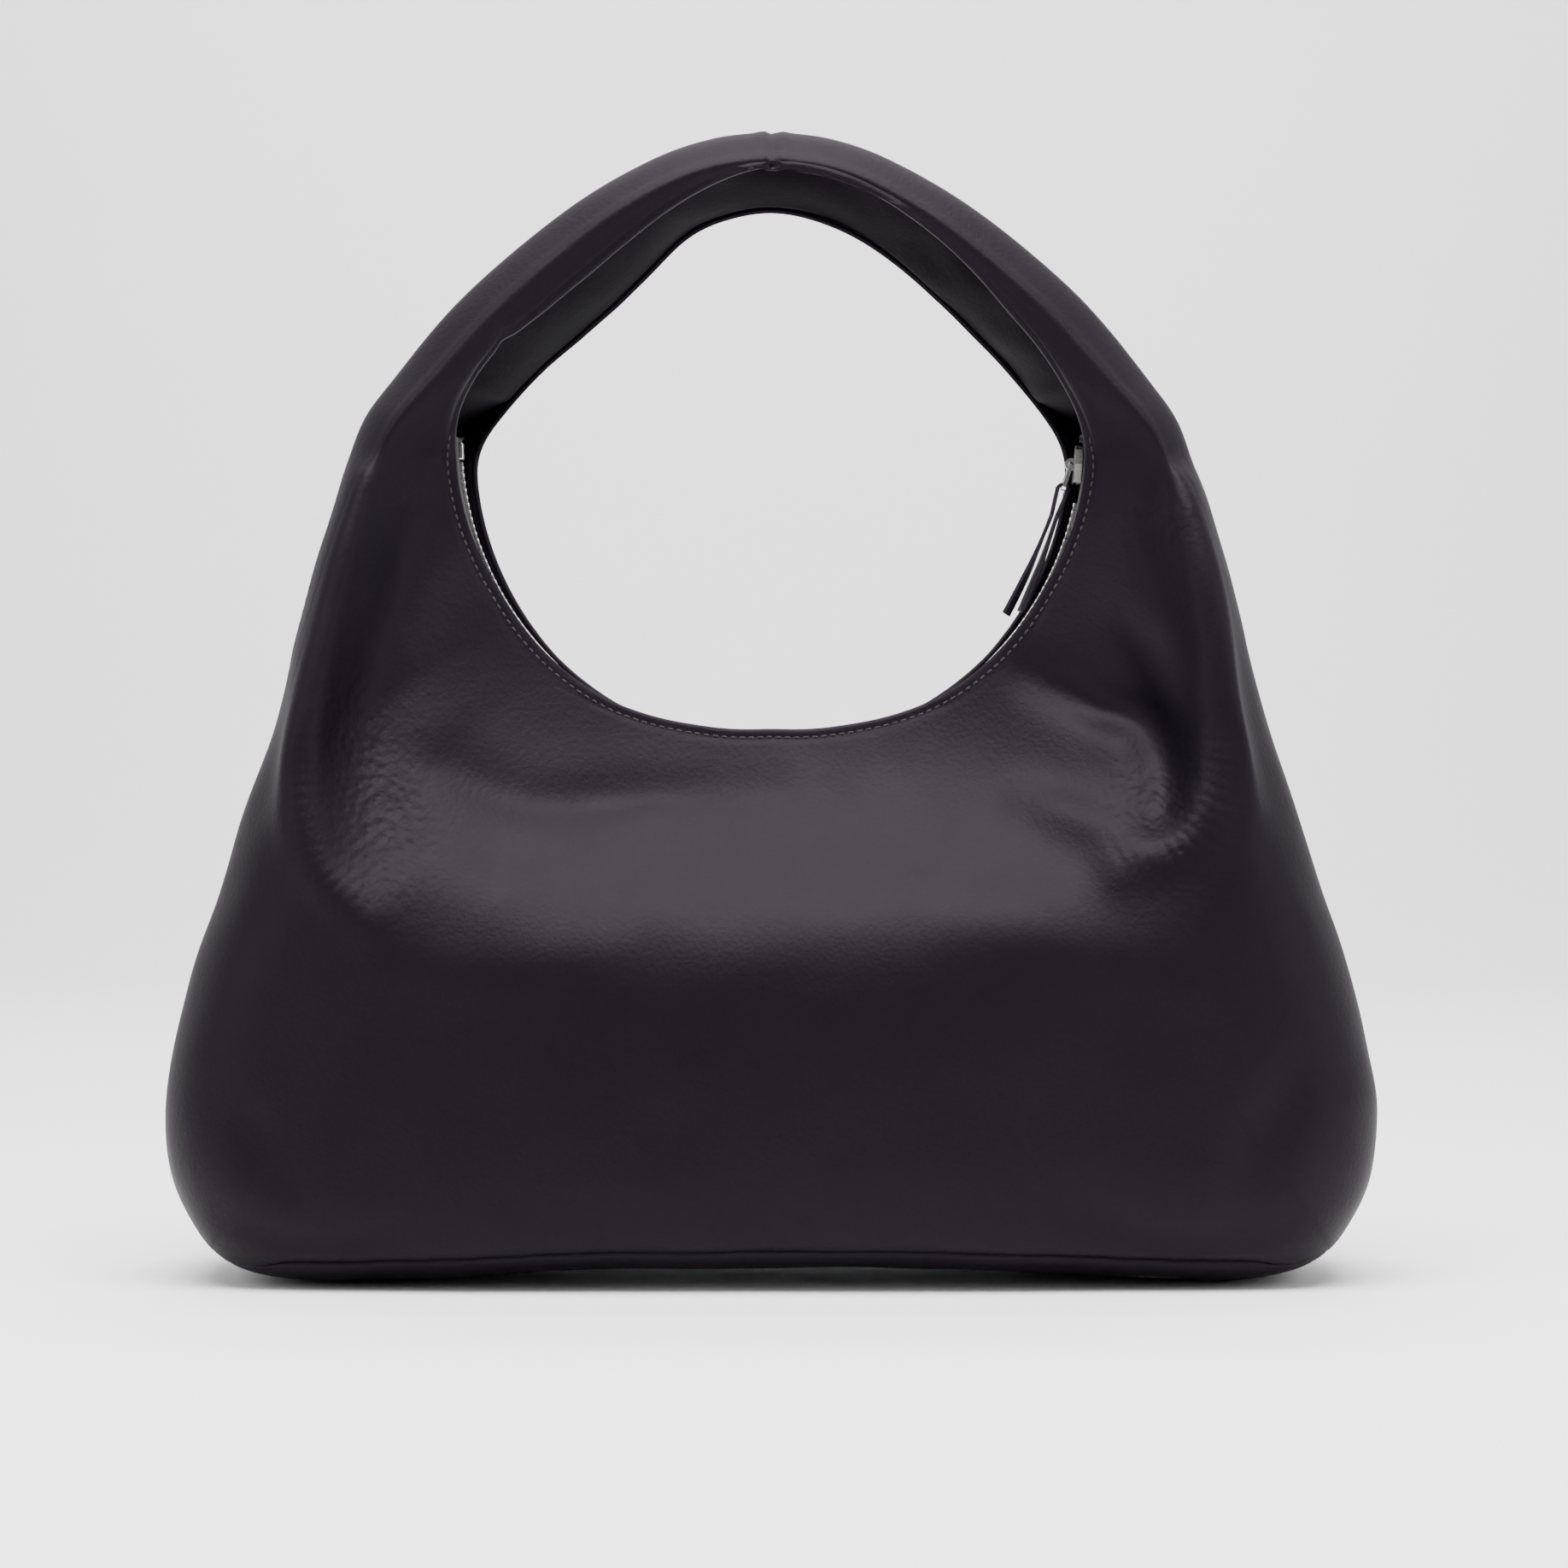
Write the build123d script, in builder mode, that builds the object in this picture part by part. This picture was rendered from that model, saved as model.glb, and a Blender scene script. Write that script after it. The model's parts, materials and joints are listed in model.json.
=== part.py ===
from build123d import *
from math import cos, radians, sin
import os

# Leather hobo bag, in millimetres, standing on its base.
# +Z is up, X runs along the bag's width and the front faces -Y.
# Front and back panels are cut in one piece with the handle, so that the bag is a ring of leather
# round one large hole. A metal zip runs round the lower half of that hole on a circular arc.

# ---- Driving dimensions ----
BAG_WIDTH = 400.0
BAG_DEPTH = 136.0
LEATHER = 2.0             # thickness of the outer leather, turned and glued double at its edges
LINING = 0.8              # thickness of the lining cloth
LAYER_GAP = 0.8           # air between the leather and the lining
SEAM_GAP = 0.05           # half the joint between the front and the back, at the side seams
BASE_SEAM_Z = 10.0        # height of the seam that joins the base panel to the front and the back
FOAM_GAP = 0.5            # air between the handle's leather and its foam core

RING_Z = 277.5            # height of the centre of the round hole
CHAIN_RADIUS = 104.5      # middle of the zip's teeth, from the hole's centre
RIM_RADIUS = 102.5        # edges of the leather beside the zip
RIM_GAP = 6.2             # from the middle plane to the inner face of either rim
ZIP_HALF_ANGLE = 90.0     # the zip's tapes run this far to either side of the lowest point

# Horizontal sections of the body: height, width, depth, corner radius
BODY_SECTIONS = [
    (0, 340, 96, 40),
    (12, 372, 122, 51),
    (32, 394, 132, 55),
    (58, BAG_WIDTH, BAG_DEPTH, 57),
    (100, 383, 134, 56),
    (150, 352, 112, 46),
    (200, 319, 88, 35),
    (240, 298, 68, 26),
    (275, 279, 54, 20),
]

# Section of the hollow that the hole leaves in the front and in the back:
# distance from the middle plane, distance from the hole's axis
MOUTH_PROFILE = [
    (RIM_GAP + LEATHER, RIM_RADIUS),
    (9.4, 107.5),
    (12.6, 113.5),
    (19.3, 121.5),
    (29, 131),
    (44, 145.5),
    (55, 157),
    (62, 167),
    (75, 186),
]

# Stations up one arm of the handle, shoulder first: x, z, half thickness, half depth
ARM_STATIONS = [
    (121, 248, 13, 19),
    (121, 262, 14.5, 21),
    (118.5, 274, 16.5, 23.5),
    (113.5, 284, 17.5, 24.5),
    (103, 300.5, 16.5, 22.5),
    (85, 320.7, 15.5, 20.5),
    (61, 341.6, 14.5, 19),
    (36, 358, 13, 18),
]
HANDLE_TOP = (0, 368, 12, 18)
FACING_HALF_WIDTH = 9.0   # strip that closes the underside of the handle

# Zip
PITCH = 2.5
TOOTH_THICKNESS = 1.05
TOOTH_COUNT = 120
FIRST_TOOTH_ANGLE = -85.7
TAPE_THICKNESS = 0.5
STOP_ANGLE = -88.0
STOP_LENGTH = 5.7
TOP_STOP_ANGLE = 90.4
TOP_STOP_LENGTH = 2.0

# Slider, at rest in its closed place
SLIDER_ANGLE = 85.5
SLIDER_LENGTH = 12.6
SLIDER_NOSE_WIDTH = 9.2
SLIDER_TAIL_WIDTH = 8.2
PLATE_THICKNESS = 1.1
PLATE_GAP = 2.0           # from the chain's middle to the inner face of either plate
FLANGE_THICKNESS = 0.9
FLANGE_SLOT = 0.7         # half the height of the slot that the tape runs in
CROWN_HEIGHT = 4.2        # bail's pivot above the chain's middle
BAIL_WIRE = 0.65          # radius of the bail's wire
BAIL_LENGTH = 9.0         # between the bail's two bars
BAIL_HALF_WIDTH = 4.2
BAIL_LEAN = 18.0          # from plumb, towards the hole

# Leather pull, one strip folded over the bail
STRAP_WIDTH = 5.0
STRAP_THICKNESS = 1.3
FOLD_RADIUS = 1.75
FOLD_LEG = 9.0
FOLD_LEG_OFFSET = 0.9

# Zipped pocket on the back lining
POCKET_WIDTH = 172.0
POCKET_LOW = 30.0
POCKET_HIGH = 98.0
POCKET_FRONT_Y = 57.0
POCKET_BACK_Y = 61.6
POCKET_ZIP_Z = 86.0
POCKET_ZIP_LENGTH = 150.0
POCKET_SLOT_HEIGHT = 7.0
POCKET_PITCH = 2.0

ring_axis = Axis((0, 0, RING_Z), (0, -1, 0))


def ring_plane(angle):
    """Plane through the hole's axis: local x to the front, local y away from the axis.

    The angle is counted from straight down, towards +X.
    """
    turn = radians(angle)
    return Plane(origin=(0, 0, RING_Z), x_dir=(0, -1, 0), z_dir=(cos(turn), 0, sin(turn)))


def chain_plane(angle):
    """Plane on the zip's chain: local x along it, local y across it, local z towards the hole."""
    turn = radians(angle)
    place = (CHAIN_RADIUS * sin(turn), 0, RING_Z - CHAIN_RADIUS * cos(turn))
    return Plane(origin=place, x_dir=(cos(turn), 0, sin(turn)), z_dir=(-sin(turn), 0, cos(turn)))


def mouth_cut(inset):
    """The hole and the hollows round it, seen from a skin that lies inset inside the leather."""
    beyond = BAG_DEPTH
    points = [(front - inset, radius + inset / 2) for front, radius in MOUTH_PROFILE]
    with BuildPart() as cut:
        with BuildSketch(ring_plane(0)):
            with BuildLine():
                Spline(*points)
                Polyline(
                    points[-1],
                    (beyond, points[-1][1]),
                    (beyond, 0),
                    (0, 0),
                    (0, points[0][1]),
                    points[0],
                )
            make_face()
        revolve(axis=ring_axis)
        mirror(about=Plane.XZ)
    return cut.part


def body_block(inset, floor):
    """The body's form, drawn in by inset on every side and standing on the height floor."""
    mouth = mouth_cut(inset)
    with BuildPart() as block:
        for height, width, depth, corner in BODY_SECTIONS:
            level = floor if height == 0 else height
            if height == BODY_SECTIONS[-1][0]:
                level = height - inset
            with BuildSketch(Plane.XY.offset(level)):
                RectangleRounded(width - 2 * inset, depth - 2 * inset, corner - inset)
        loft()
        add(mouth, mode=Mode.SUBTRACT)
    return block.part


def handle_stations():
    """The whole handle's section planes, from the right shoulder over the top to the left one."""
    left = [(-x, z, thick, deep) for x, z, thick, deep in reversed(ARM_STATIONS)]
    stations = ARM_STATIONS + [HANDLE_TOP] + left
    last = len(stations) - 1
    planes = []
    for index, (x, z, thick, deep) in enumerate(stations):
        before = stations[max(index - 1, 0)]
        after = stations[min(index + 1, last)]
        along = (after[0] - before[0], 0, after[1] - before[1])
        planes.append((Plane(origin=(x, 0, z), x_dir=(0, 1, 0), z_dir=along), thick, deep))
    return planes


def handle_block(inset, skip):
    """The handle's form, drawn in by inset and without its first skip stations on each side."""
    stations = handle_stations()
    with BuildPart() as block:
        for plane, thick, deep in stations[skip : len(stations) - skip]:
            with BuildSketch(plane):
                Ellipse(deep - inset, thick - inset)
        loft()
    return block.part


def ring_strip(points, thickness, side, half_angle):
    """A thin band that follows the zip: points are (from the middle plane, from the hole's axis)."""
    with BuildPart() as strip:
        with BuildSketch(ring_plane(-half_angle)):
            with BuildLine():
                Polyline(*[(side * front, radius) for front, radius in points])
            trace(line_width=thickness)
        revolve(axis=ring_axis, revolution_arc=2 * half_angle)
    return strip.part


# ---- Leather: one hollow skin, then cut along its seams ----
outer_body = body_block(0, 0)
inner_body = body_block(LEATHER, LEATHER)
outer_handle = handle_block(0, 0)
inner_handle = handle_block(LEATHER, 1)

SLOT_HALF_ANGLE = 95.0
SLOT_INNER_RADIUS = 91.0
SLOT_OUTER_RADIUS = 121.0
with BuildPart() as zip_slot:
    with BuildSketch(ring_plane(-SLOT_HALF_ANGLE)):
        with Locations((0, (SLOT_INNER_RADIUS + SLOT_OUTER_RADIUS) / 2)):
            Rectangle(2 * RIM_GAP, SLOT_OUTER_RADIUS - SLOT_INNER_RADIUS)
    revolve(axis=ring_axis, revolution_arc=2 * SLOT_HALF_ANGLE)

with BuildPart() as skin:
    add(outer_body)
    add(outer_handle)
    add(inner_body, mode=Mode.SUBTRACT)
    add(inner_handle, mode=Mode.SUBTRACT)
    add(zip_slot.part, mode=Mode.SUBTRACT)

# Everything below the handle's centre line and near the middle plane, above the zip's ends
FACING_START = 3          # station where the facing strip begins
with BuildPart() as facing_zone:
    with BuildSketch(Plane.XZ):
        with BuildLine():
            right = [(x, z) for x, z, _, _ in ARM_STATIONS[FACING_START:]]
            left = [(-x, z) for x, z in reversed(right)]
            Spline(*right, HANDLE_TOP[:2], *left)
            Line(left[-1], right[0])
        make_face()
    extrude(amount=FACING_HALF_WIDTH, both=True)

with BuildPart() as base_panel:
    add(skin.part)
    split(bisect_by=Plane.XY.offset(BASE_SEAM_Z), keep=Keep.BOTTOM)
base_panel.part.label = "base_panel"

with BuildPart() as upper_skin:
    add(skin.part)
    split(bisect_by=Plane.XY.offset(BASE_SEAM_Z), keep=Keep.TOP)
    add(facing_zone.part, mode=Mode.SUBTRACT)

with BuildPart() as front_panel:
    add(upper_skin.part)
    split(bisect_by=Plane.XZ.offset(SEAM_GAP), keep=Keep.TOP)
front_panel.part.label = "front_panel"

with BuildPart() as back_panel:
    add(upper_skin.part)
    split(bisect_by=Plane.XZ.offset(-SEAM_GAP), keep=Keep.BOTTOM)
back_panel.part.label = "back_panel"

with BuildPart() as handle_facing:
    add(skin.part)
    add(facing_zone.part, mode=Mode.INTERSECT)
handle_facing.part.label = "handle_facing"

# ---- Inside the handle: a foam core round a webbing strap that takes the pull ----
WEBBING_WIDTH = 16.0
WEBBING_THICKNESS = 1.6
WEBBING_START = 4          # station where the webbing begins
CORE_LOW_Z = 294.0         # the core stops here, above the ends of the zip
with BuildPart() as handle_webbing:
    for plane, _, _ in handle_stations()[WEBBING_START:-WEBBING_START]:
        with BuildSketch(plane):
            Rectangle(WEBBING_WIDTH, WEBBING_THICKNESS)
    loft()
handle_webbing.part.label = "handle_webbing"

core_form = handle_block(LEATHER + FOAM_GAP, 1)
with BuildPart() as handle_core:
    add(core_form)
    split(bisect_by=Plane.XY.offset(CORE_LOW_Z), keep=Keep.TOP)
    add(handle_webbing.part, mode=Mode.SUBTRACT)
handle_core.part.label = "handle_core"

# ---- Base board and lining ----
BOARD_THICKNESS = 2.0
BOARD_CLEARANCE = 0.3
BOARD_LENGTH = 306.0
BOARD_WIDTH = 80.0
BOARD_CORNER = 30.0
board_z = LEATHER + BOARD_CLEARANCE
with BuildPart() as base_board:
    with BuildSketch(Plane.XY.offset(board_z)):
        RectangleRounded(BOARD_LENGTH, BOARD_WIDTH, BOARD_CORNER)
    extrude(amount=BOARD_THICKNESS)
base_board.part.label = "base_board"

LINING_TOP_RADIUS = 134.5  # the lining's edge, sewn to the facings, from the hole's axis
LINING_TOP_Z = 246.0
lining_floor = board_z + BOARD_THICKNESS + BOARD_CLEARANCE
lining_outer = body_block(LEATHER + LAYER_GAP, lining_floor)
lining_inner = body_block(LEATHER + LAYER_GAP + LINING, lining_floor + LINING)
with BuildPart() as lining:
    add(lining_outer)
    add(lining_inner, mode=Mode.SUBTRACT)
    with BuildSketch(Plane.XZ):
        with Locations((0, RING_Z)):
            Circle(LINING_TOP_RADIUS)
        with Locations((0, LINING_TOP_Z)):
            Rectangle(BAG_WIDTH, BAG_WIDTH, align=(Align.CENTER, Align.MIN))
    extrude(amount=BAG_DEPTH, both=True, mode=Mode.SUBTRACT)

with BuildPart() as lining_front:
    add(lining.part)
    split(bisect_by=Plane.XZ.offset(SEAM_GAP), keep=Keep.TOP)
lining_front.part.label = "lining_front"

with BuildPart() as lining_back:
    add(lining.part)
    split(bisect_by=Plane.XZ.offset(-SEAM_GAP), keep=Keep.BOTTOM)
lining_back.part.label = "lining_back"

# ---- Zip tapes, and the leather facings that cover their sewn edges on the inside ----
TAPE_PATH = [(1.2, 104.5), (4.9, 104.6), (5.9, 106.1), (6.8, 109.5), (9.5, 114.5), (12.6, 118.7)]
FACING_PATH = [(5.9, 110.1), (8.6, 115.3), (11.8, 119.5), (17, 125.1), (25, 132.8)]
RIM_FACING_THICKNESS = 1.0
RIM_FACING_HALF_ANGLE = 74.0
FRONT, BACK = 1, -1
sides = {"front": FRONT, "back": BACK}
zip_tapes = {}
rim_facings = {}
for name, side in sides.items():
    zip_tapes[name] = ring_strip(TAPE_PATH, TAPE_THICKNESS, side, ZIP_HALF_ANGLE + 2)
    zip_tapes[name].label = f"zip_tape_{name}"
    rim_facings[name] = ring_strip(FACING_PATH, RIM_FACING_THICKNESS, side, RIM_FACING_HALF_ANGLE)
    rim_facings[name].label = f"rim_facing_{name}"

# ---- Zip teeth: a head that meshes with the other row, and two jaws crimped on the tape ----
TOOTH_OUTLINE = [
    (-0.6, -1.2),
    (-0.6, 1.2),
    (0.6, 1.5),
    (2.8, 1.3),
    (2.8, 0.35),
    (1.1, 0.35),
    (1.1, -0.35),
    (2.8, -0.35),
    (2.8, -1.3),
    (0.6, -1.5),
]
pitch_angle = PITCH / (CHAIN_RADIUS * radians(1))
zip_teeth = {}
for name, side in sides.items():
    start = FIRST_TOOTH_ANGLE + (pitch_angle / 2 if side == BACK else 0)
    with BuildPart() as row:
        for number in range(TOOTH_COUNT):
            with BuildSketch(ring_plane(start + number * pitch_angle)):
                with BuildLine():
                    Polyline(
                        *[(side * front, CHAIN_RADIUS + out) for front, out in TOOTH_OUTLINE],
                        close=True,
                    )
                make_face()
        extrude(amount=TOOTH_THICKNESS / 2, both=True)
    zip_teeth[name] = row.part
    zip_teeth[name].label = f"zip_teeth_{name}"

STOP_WIDTH = 6.4
STOP_HEIGHT = 3.8
STOP_EDGE = 0.5
with BuildPart() as zip_bottom_stop:
    with BuildSketch(chain_plane(STOP_ANGLE)):
        Rectangle(STOP_LENGTH, STOP_WIDTH)
    extrude(amount=STOP_HEIGHT / 2, both=True)
    fillet(zip_bottom_stop.edges(), STOP_EDGE)
zip_bottom_stop.part.label = "zip_bottom_stop"

TOP_STOP_WIDTH = 2.0
TOP_STOP_HEIGHT = 3.0
TOP_STOP_SPREAD = 2.4
with BuildPart() as zip_top_stops:
    with BuildSketch(chain_plane(TOP_STOP_ANGLE)):
        with Locations((0, TOP_STOP_SPREAD), (0, -TOP_STOP_SPREAD)):
            Rectangle(TOP_STOP_LENGTH, TOP_STOP_WIDTH)
    extrude(amount=TOP_STOP_HEIGHT / 2, both=True)
zip_top_stops.part.label = "zip_top_stops"

# ---- Slider: two plates joined by a post at the nose, flanges along the sides, crown on top ----
slider_plane = chain_plane(SLIDER_ANGLE)
POST_LENGTH = 3.0
POST_WIDTH = 1.0
CROWN_RADIUS = 2.0
CROWN_HOLE_RADIUS = 0.95
CROWN_WIDTH = 1.8
half_length = SLIDER_LENGTH / 2
half_nose = SLIDER_NOSE_WIDTH / 2
half_tail = SLIDER_TAIL_WIDTH / 2
plate_outline = [
    (half_length, half_nose - 1.2),
    (half_length - 1.5, half_nose),
    (0, half_nose),
    (-half_length, half_tail),
    (-half_length, -half_tail),
    (0, -half_nose),
    (half_length - 1.5, -half_nose),
    (half_length, -half_nose + 1.2),
]


def slider_layer(low, high, mode_is_flange):
    """One layer of the slider between two heights over the chain: a full plate or its two rims."""
    with BuildPart() as layer:
        with BuildSketch(slider_plane.offset(low)):
            with BuildLine():
                Polyline(*plate_outline, close=True)
            make_face()
            if mode_is_flange:
                with BuildLine():
                    Polyline(
                        (half_length + 1, half_nose - FLANGE_THICKNESS),
                        (0, half_nose - FLANGE_THICKNESS),
                        (-half_length - 1, half_tail - FLANGE_THICKNESS),
                        (-half_length - 1, -half_tail + FLANGE_THICKNESS),
                        (0, -half_nose + FLANGE_THICKNESS),
                        (half_length + 1, -half_nose + FLANGE_THICKNESS),
                        close=True,
                    )
                make_face(mode=Mode.SUBTRACT)
        extrude(amount=high - low)
    return layer.part


slider_layers = [
    slider_layer(PLATE_GAP, PLATE_GAP + PLATE_THICKNESS, False),
    slider_layer(-PLATE_GAP - PLATE_THICKNESS, -PLATE_GAP, False),
    slider_layer(FLANGE_SLOT, PLATE_GAP, True),
    slider_layer(-PLATE_GAP, -FLANGE_SLOT, True),
]
crown_plane = Plane(
    origin=slider_plane.origin,
    x_dir=slider_plane.x_dir,
    z_dir=-slider_plane.y_dir,
)
with BuildPart() as slider_body:
    add(slider_layers)
    with BuildSketch(slider_plane.offset(-PLATE_GAP)):
        with Locations((half_length - POST_LENGTH / 2, 0)):
            Rectangle(POST_LENGTH, POST_WIDTH)
    extrude(amount=2 * PLATE_GAP)
    with BuildSketch(crown_plane):
        with Locations((0, CROWN_HEIGHT)):
            Circle(CROWN_RADIUS)
        with Locations((0, PLATE_GAP + PLATE_THICKNESS / 2)):
            Rectangle(2 * CROWN_RADIUS, CROWN_HEIGHT - PLATE_GAP, align=(Align.CENTER, Align.MIN))
        with Locations((0, CROWN_HEIGHT)):
            Circle(CROWN_HOLE_RADIUS, mode=Mode.SUBTRACT)
    extrude(amount=CROWN_WIDTH / 2, both=True)
slider_body.part.label = "slider_body"

# ---- Bail: a closed wire loop that hangs in the crown, its two bars across the zip ----
pivot = slider_plane.origin + slider_plane.z_dir * CROWN_HEIGHT
lean = radians(BAIL_LEAN)
hang = Vector(-sin(lean), 0, -cos(lean))
bail_plane = Plane(origin=pivot, x_dir=(0, 1, 0), z_dir=hang.cross(Vector(0, 1, 0)))
BAIL_CORNER = 1.6
with BuildPart() as slider_bail:
    with BuildSketch(bail_plane):
        with Locations((0, -BAIL_LENGTH / 2)):
            RectangleRounded(
                2 * (BAIL_HALF_WIDTH + BAIL_WIRE),
                BAIL_LENGTH + 2 * BAIL_WIRE,
                BAIL_CORNER,
            )
            RectangleRounded(
                2 * (BAIL_HALF_WIDTH - BAIL_WIRE),
                BAIL_LENGTH - 2 * BAIL_WIRE,
                BAIL_CORNER - BAIL_WIRE,
                mode=Mode.SUBTRACT,
            )
    extrude(amount=BAIL_WIRE, both=True)
slider_bail.part.label = "slider_bail"

# ---- Leather pull: the folded top of the strip, then its two free tails ----
bar = pivot + hang * BAIL_LENGTH
across = Vector(-hang.Z, 0, hang.X)


def strap_point(side_step, down):
    """Point on the strap's section, (x, z), from the bail's lower bar."""
    place = bar + across * side_step + hang * down
    return (place.X, place.Z)


fold_left = strap_point(-FOLD_LEG_OFFSET, FOLD_LEG)
fold_right = strap_point(FOLD_LEG_OFFSET, FOLD_LEG)
with BuildPart() as pull_loop:
    with BuildSketch(Plane.XZ):
        with BuildLine():
            Line(fold_left, strap_point(-FOLD_RADIUS, 0))
            ThreePointArc(
                strap_point(-FOLD_RADIUS, 0),
                strap_point(0, -FOLD_RADIUS),
                strap_point(FOLD_RADIUS, 0),
            )
            Line(strap_point(FOLD_RADIUS, 0), fold_right)
        trace(line_width=STRAP_THICKNESS)
    extrude(amount=STRAP_WIDTH / 2, both=True)
pull_loop.part.label = "pull_loop"

# Routes of the two tails in the plane of the hole, (x, z), from the fold to the cut end
LONG_TAIL = [fold_left, (89.9, 243.4), (84.6, 231.3), (78.4, 219.6)]
SHORT_TAIL = [fold_right, (92.4, 243.4), (88.2, 231.6), (83.4, 220.4)]
pull_tails = {}
for name, route in {"pull_tail_long": LONG_TAIL, "pull_tail_short": SHORT_TAIL}.items():
    bends = []
    for before, here, after in zip(route, route[1:], route[2:]):
        run_in = Vector(*here) - Vector(*before)
        run_out = Vector(*after) - Vector(*here)
        turn = radians(run_in.get_angle(run_out))
        shorter = min(run_in.length, run_out.length)
        bends.append(0.45 * shorter / (sin(turn / 2) / cos(turn / 2)))
    with BuildPart() as tail:
        with BuildSketch(Plane.XZ):
            with BuildLine():
                path = FilletPolyline(*route, radius=bends)
            trace(line_width=STRAP_THICKNESS)
        extrude(amount=STRAP_WIDTH / 2, both=True)
    pull_tails[name] = tail.part
    pull_tails[name].label = name
    section = STRAP_WIDTH * STRAP_THICKNESS
    print(name, "radii", [round(bend) for bend in bends], "length", round(path.length, 1))
    print(name, "volume", round(tail.part.volume, 1), "expected", round(section * path.length, 1))

# ---- Zipped pocket on the back lining: a shallow tray of lining cloth with its own small zip ----
POCKET_CLOTH = 0.8
pocket_middle_z = (POCKET_LOW + POCKET_HIGH) / 2
pocket_height = POCKET_HIGH - POCKET_LOW
pocket_plane = Plane(origin=(0, POCKET_FRONT_Y, 0), x_dir=(1, 0, 0), z_dir=(0, -1, 0))
with BuildPart() as pocket_panel:
    with BuildSketch(pocket_plane):
        with Locations((0, pocket_middle_z)):
            Rectangle(POCKET_WIDTH, pocket_height)
    extrude(amount=POCKET_FRONT_Y - POCKET_BACK_Y)
    with BuildSketch(pocket_plane.offset(-POCKET_CLOTH)):
        with Locations((0, pocket_middle_z)):
            Rectangle(POCKET_WIDTH - 2 * POCKET_CLOTH, pocket_height - 2 * POCKET_CLOTH)
    extrude(amount=POCKET_FRONT_Y - POCKET_BACK_Y, mode=Mode.SUBTRACT)
    with BuildSketch(pocket_plane):
        with Locations((0, POCKET_ZIP_Z)):
            Rectangle(POCKET_ZIP_LENGTH, POCKET_SLOT_HEIGHT)
    extrude(amount=-POCKET_CLOTH, mode=Mode.SUBTRACT)
pocket_panel.part.label = "pocket_panel"

POCKET_TAPE_WIDTH = 10.0
POCKET_TAPE_THICKNESS = 0.4
POCKET_TAPE_GAP = 0.1
tape_plane = pocket_plane.offset(-POCKET_CLOTH - POCKET_TAPE_GAP)
with BuildPart() as pocket_zip_tape:
    with BuildSketch(tape_plane):
        for side in sides.values():
            with Locations((0, POCKET_ZIP_Z + side * (0.6 + POCKET_TAPE_WIDTH / 2))):
                Rectangle(POCKET_ZIP_LENGTH + 8, POCKET_TAPE_WIDTH)
    extrude(amount=-POCKET_TAPE_THICKNESS)
pocket_zip_tape.part.label = "pocket_zip_tape"

pocket_tooth_count = int((POCKET_ZIP_LENGTH - 22) / POCKET_PITCH)
POCKET_TOOTH_LENGTH = 2.2
POCKET_TOOTH_HEIGHT = 1.4
POCKET_TOOTH_MESH = 0.35
with BuildPart() as pocket_teeth:
    with BuildSketch(tape_plane):
        for side in sides.values():
            shift = POCKET_PITCH / 4 * side - 5
            middle = POCKET_ZIP_Z + side * (POCKET_TOOTH_LENGTH / 2 - POCKET_TOOTH_MESH)
            with Locations((shift, middle)):
                with GridLocations(POCKET_PITCH, 0, pocket_tooth_count, 1):
                    Rectangle(0.8, POCKET_TOOTH_LENGTH)
    extrude(amount=POCKET_TOOTH_HEIGHT)
pocket_teeth.part.label = "pocket_teeth"

POCKET_STOP_LENGTH = 3.0
pocket_stop_x = POCKET_ZIP_LENGTH / 2 - POCKET_STOP_LENGTH
with BuildPart() as pocket_stops:
    with BuildSketch(tape_plane):
        with Locations((pocket_stop_x, POCKET_ZIP_Z), (-pocket_stop_x, POCKET_ZIP_Z)):
            Rectangle(POCKET_STOP_LENGTH, 5)
    extrude(amount=POCKET_TOOTH_HEIGHT)
pocket_stops.part.label = "pocket_stops"

# The pocket's slider rides over its chain, closed at +X; the puller lies back along the chain
POCKET_SLIDER_LENGTH = 8.0
POCKET_SLIDER_WIDTH = 6.4
POCKET_SLIDER_ROOM = 0.35
POCKET_SLIDER_PLATE = 0.8
pocket_slider_x = pocket_stop_x - POCKET_STOP_LENGTH / 2 - POCKET_SLIDER_LENGTH / 2 - 0.5
slider_low = POCKET_TOOTH_HEIGHT + POCKET_SLIDER_ROOM
puller_pivot_height = slider_low + POCKET_SLIDER_PLATE + 1.0
with BuildPart() as pocket_slider:
    with BuildSketch(tape_plane.offset(slider_low)):
        with Locations((pocket_slider_x, POCKET_ZIP_Z)):
            RectangleRounded(POCKET_SLIDER_LENGTH, POCKET_SLIDER_WIDTH, 1.5)
    extrude(amount=POCKET_SLIDER_PLATE)
    with BuildSketch(tape_plane.offset(POCKET_SLIDER_ROOM / 2)):
        for side in sides.values():
            with Locations((pocket_slider_x, POCKET_ZIP_Z + side * (POCKET_SLIDER_WIDTH / 2 - 0.3))):
                Rectangle(POCKET_SLIDER_LENGTH - 3, 0.6)
    extrude(amount=slider_low)
    with BuildSketch(Plane(origin=(0, 0, POCKET_ZIP_Z), x_dir=(1, 0, 0), z_dir=(0, 0, 1))):
        with Locations((pocket_slider_x, tape_plane.origin.Y - puller_pivot_height)):
            Circle(1.5)
            Circle(0.75, mode=Mode.SUBTRACT)
    extrude(amount=0.7, both=True)
pocket_slider.part.label = "pocket_slider"

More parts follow.
